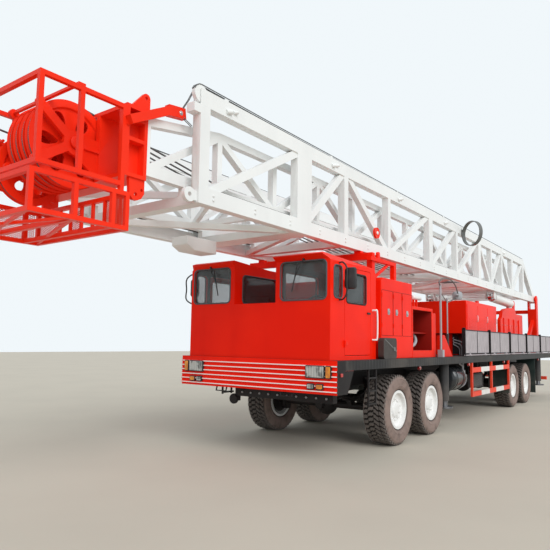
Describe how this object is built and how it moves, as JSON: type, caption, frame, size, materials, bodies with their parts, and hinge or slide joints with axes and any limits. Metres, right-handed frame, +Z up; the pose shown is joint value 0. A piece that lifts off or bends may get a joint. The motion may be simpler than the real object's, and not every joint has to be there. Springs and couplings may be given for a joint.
{
  "type": "workover rig",
  "caption": "Truck-mounted workover rig with twin half cabs, steering front axles and a telescoping mast lowered over the cabs, with folding side platforms and raising rams.",
  "frame": {"origin": "centre of the bounding box at ground level, under the middle of the rig", "axes": "+X forward towards the cabs and the crown, +Y to the driver's left side, +Z up"},
  "size_m": [18.65, 3.202, 4.5047],
  "materials": {
    "chassis_black": "semi-gloss black paint, dusty",
    "deck_black": "satin black paint",
    "body_red": "glossy orange-red enamel",
    "glass": "tinted safety glass",
    "seat_vinyl": "dark vinyl",
    "cab_plastic": "grained black plastic",
    "engine_grey": "grey engine enamel",
    "tank_black": "gloss black paint",
    "guard_orange": "orange enamel with white bands",
    "machinery_red": "red enamel on machinery",
    "jack_grey": "grey paint",
    "flap_rubber": "black sheet rubber",
    "fitting_grey": "grey paint on deck fittings",
    "platform_grey": "mid-grey paint on panels",
    "mast_white": "gloss white enamel",
    "crown_red": "glossy red enamel",
    "rod_steel": "ground steel",
    "tyre": "ribbed tyre rubber",
    "rim_white": "white enamel"
  },
  "bodies": {
    "root": {"frame": "chassis_black", "deck": "deck_black", "bumper": "body_red", "cabs": "body_red", "cab_glass": "glass", "cab_seats": "seat_vinyl", "cab_controls": "cab_plastic", "axle_beams": "chassis_black", "leaf_springs": "chassis_black", "driveline": "chassis_black", "engine_house": "body_red", "engine": "engine_grey", "machine_bay": "body_red", "fuel_tanks": "tank_black", "guards": "guard_orange", "hydraulic_house": "body_red", "drawworks": "machinery_red", "mast_base": "machinery_red", "mast_rest": "body_red", "jack_barrels": "jack_grey", "mudflaps": "flap_rubber", "mirrors": "cab_plastic", "deck_fittings": "fitting_grey", "platform_posts": "deck_black"},
    "wheel_1l": {"tyre_1l": "tyre", "rim_1l": "rim_white"},
    "wheel_1r": {"tyre_1r": "tyre", "rim_1r": "rim_white"},
    "wheel_2l": {"tyre_2l": "tyre", "rim_2l": "rim_white"},
    "wheel_2r": {"tyre_2r": "tyre", "rim_2r": "rim_white"},
    "wheel_3l": {"tyre_3l": "tyre", "rim_3l": "rim_white"},
    "wheel_3r": {"tyre_3r": "tyre", "rim_3r": "rim_white"},
    "wheel_4l": {"tyre_4l": "tyre", "rim_4l": "rim_white"},
    "wheel_4r": {"tyre_4r": "tyre", "rim_4r": "rim_white"},
    "steer_1l": {"knuckle_1l": "chassis_black"},
    "steer_1r": {"knuckle_1r": "chassis_black"},
    "steer_2l": {"knuckle_2l": "chassis_black"},
    "steer_2r": {"knuckle_2r": "chassis_black"},
    "door_l": {"door_l": "body_red"},
    "door_r": {"door_r": "body_red"},
    "side_platform_l": {"platforms_l": "platform_grey"},
    "side_platform_r": {"platforms_r": "platform_grey"},
    "mast_lower": {"lower_sides": "mast_white", "lower_back": "mast_white", "hose_ring": "fitting_grey"},
    "mast_upper": {"upper_sides": "mast_white", "upper_back": "mast_white", "crown_frame": "crown_red"},
    "main_sheaves": {"crown_sheaves": "crown_red"},
    "fast_sheave": {"fastline_sheave": "crown_red"},
    "ram_barrel": {"ram_barrels": "mast_white"},
    "ram_stage": {"ram_stages": "rod_steel"},
    "ram_rod": {"ram_rods": "rod_steel"},
    "jacks": {"jack_legs": "rod_steel"}
  },
  "joints": [
    {"name": "steer_1l", "type": "hinge", "parent": "root", "child": "steer_1l", "pos_m": [3.16, 0.94, 0.57], "axis": [0, 0, 1], "range_deg": [-28, 28]},
    {"name": "steer_1r", "type": "hinge", "parent": "root", "child": "steer_1r", "pos_m": [3.16, -0.94, 0.57], "axis": [0, 0, 1], "range_deg": [-28, 28]},
    {"name": "steer_2l", "type": "hinge", "parent": "root", "child": "steer_2l", "pos_m": [1.719, 0.94, 0.57], "axis": [0, 0, 1], "range_deg": [-20.2, 20.2]},
    {"name": "steer_2r", "type": "hinge", "parent": "root", "child": "steer_2r", "pos_m": [1.719, -0.94, 0.57], "axis": [0, 0, 1], "range_deg": [-20.2, 20.2]},
    {"name": "wheel_1l", "type": "hinge", "parent": "steer_1l", "child": "wheel_1l", "pos_m": [3.16, 1.19, 0.57], "axis": [0, 1, 0], "continuous": true},
    {"name": "wheel_1r", "type": "hinge", "parent": "steer_1r", "child": "wheel_1r", "pos_m": [3.16, -1.19, 0.57], "axis": [0, 1, 0], "continuous": true},
    {"name": "wheel_2l", "type": "hinge", "parent": "steer_2l", "child": "wheel_2l", "pos_m": [1.719, 1.19, 0.57], "axis": [0, 1, 0], "continuous": true},
    {"name": "wheel_2r", "type": "hinge", "parent": "steer_2r", "child": "wheel_2r", "pos_m": [1.719, -1.19, 0.57], "axis": [0, 1, 0], "continuous": true},
    {"name": "wheel_3l", "type": "hinge", "parent": "root", "child": "wheel_3l", "pos_m": [-4.218, 1.19, 0.57], "axis": [0, 1, 0], "continuous": true},
    {"name": "wheel_3r", "type": "hinge", "parent": "root", "child": "wheel_3r", "pos_m": [-4.218, -1.19, 0.57], "axis": [0, 1, 0], "continuous": true},
    {"name": "wheel_4l", "type": "hinge", "parent": "root", "child": "wheel_4l", "pos_m": [-5.651, 1.19, 0.57], "axis": [0, 1, 0], "continuous": true},
    {"name": "wheel_4r", "type": "hinge", "parent": "root", "child": "wheel_4r", "pos_m": [-5.651, -1.19, 0.57], "axis": [0, 1, 0], "continuous": true},
    {"name": "door_l", "type": "hinge", "parent": "root", "child": "door_l", "pos_m": [4.892, 1.347, 2], "axis": [0, 0, -1], "range_deg": [0, 70]},
    {"name": "door_r", "type": "hinge", "parent": "root", "child": "door_r", "pos_m": [4.892, -1.347, 2], "axis": [0, 0, 1], "range_deg": [0, 70]},
    {"name": "side_platform_l", "type": "hinge", "parent": "root", "child": "side_platform_l", "pos_m": [-4.675, 1.448, 1.426], "axis": [-1, 0, 0], "range_deg": [0, 90]},
    {"name": "side_platform_r", "type": "hinge", "parent": "root", "child": "side_platform_r", "pos_m": [-4.675, -1.448, 1.426], "axis": [1, 0, 0], "range_deg": [0, 90]},
    {"name": "mast_raise", "type": "hinge", "parent": "root", "child": "mast_lower", "pos_m": [-8.665, 0, 3.225], "axis": [0, -1, 0], "range_deg": [0, 93.5]},
    {"name": "mast_extend", "type": "slide", "parent": "mast_lower", "child": "mast_upper", "axis": [1, 0, 0], "range_m": [0, 11]},
    {"name": "main_sheaves", "type": "hinge", "parent": "mast_upper", "child": "main_sheaves", "pos_m": [8.625, 0.1, 3.6], "axis": [0, 1, 0], "continuous": true},
    {"name": "fast_sheave", "type": "hinge", "parent": "mast_upper", "child": "fast_sheave", "pos_m": [8.743, -0.258, 3.378], "axis": [0, 1, 0], "continuous": true},
    {"name": "ram_swing", "type": "hinge", "parent": "root", "child": "ram_barrel", "pos_m": [-6.235, 0, 2.93], "axis": [0, -1, 0], "range_deg": [0, 115.36]},
    {"name": "ram_first_stage", "type": "slide", "parent": "ram_barrel", "child": "ram_stage", "axis": [0.9996, 0, 0.0278], "range_m": [0, 1.6614]},
    {"name": "ram_second_stage", "type": "slide", "parent": "ram_stage", "child": "ram_rod", "axis": [0.9996, 0, 0.0278], "range_m": [0, 1.6614]},
    {"name": "jacks", "type": "slide", "parent": "root", "child": "jacks", "axis": [0, 0, -1], "range_m": [0, 0.375]}
  ],
  "couplings": [
    {"joint": "steer_1r", "follows": "steer_1l", "ratio": 1},
    {"joint": "steer_2l", "follows": "steer_1l", "ratio": 0.72},
    {"joint": "steer_2r", "follows": "steer_1l", "ratio": 0.72},
    {"joint": "ram_swing", "follows": "mast_raise", "ratio": 1.2327},
    {"joint": "ram_first_stage", "follows": "mast_raise", "m_per_rad": 1.0175},
    {"joint": "ram_second_stage", "follows": "mast_raise", "m_per_rad": 1.0175}
  ]
}
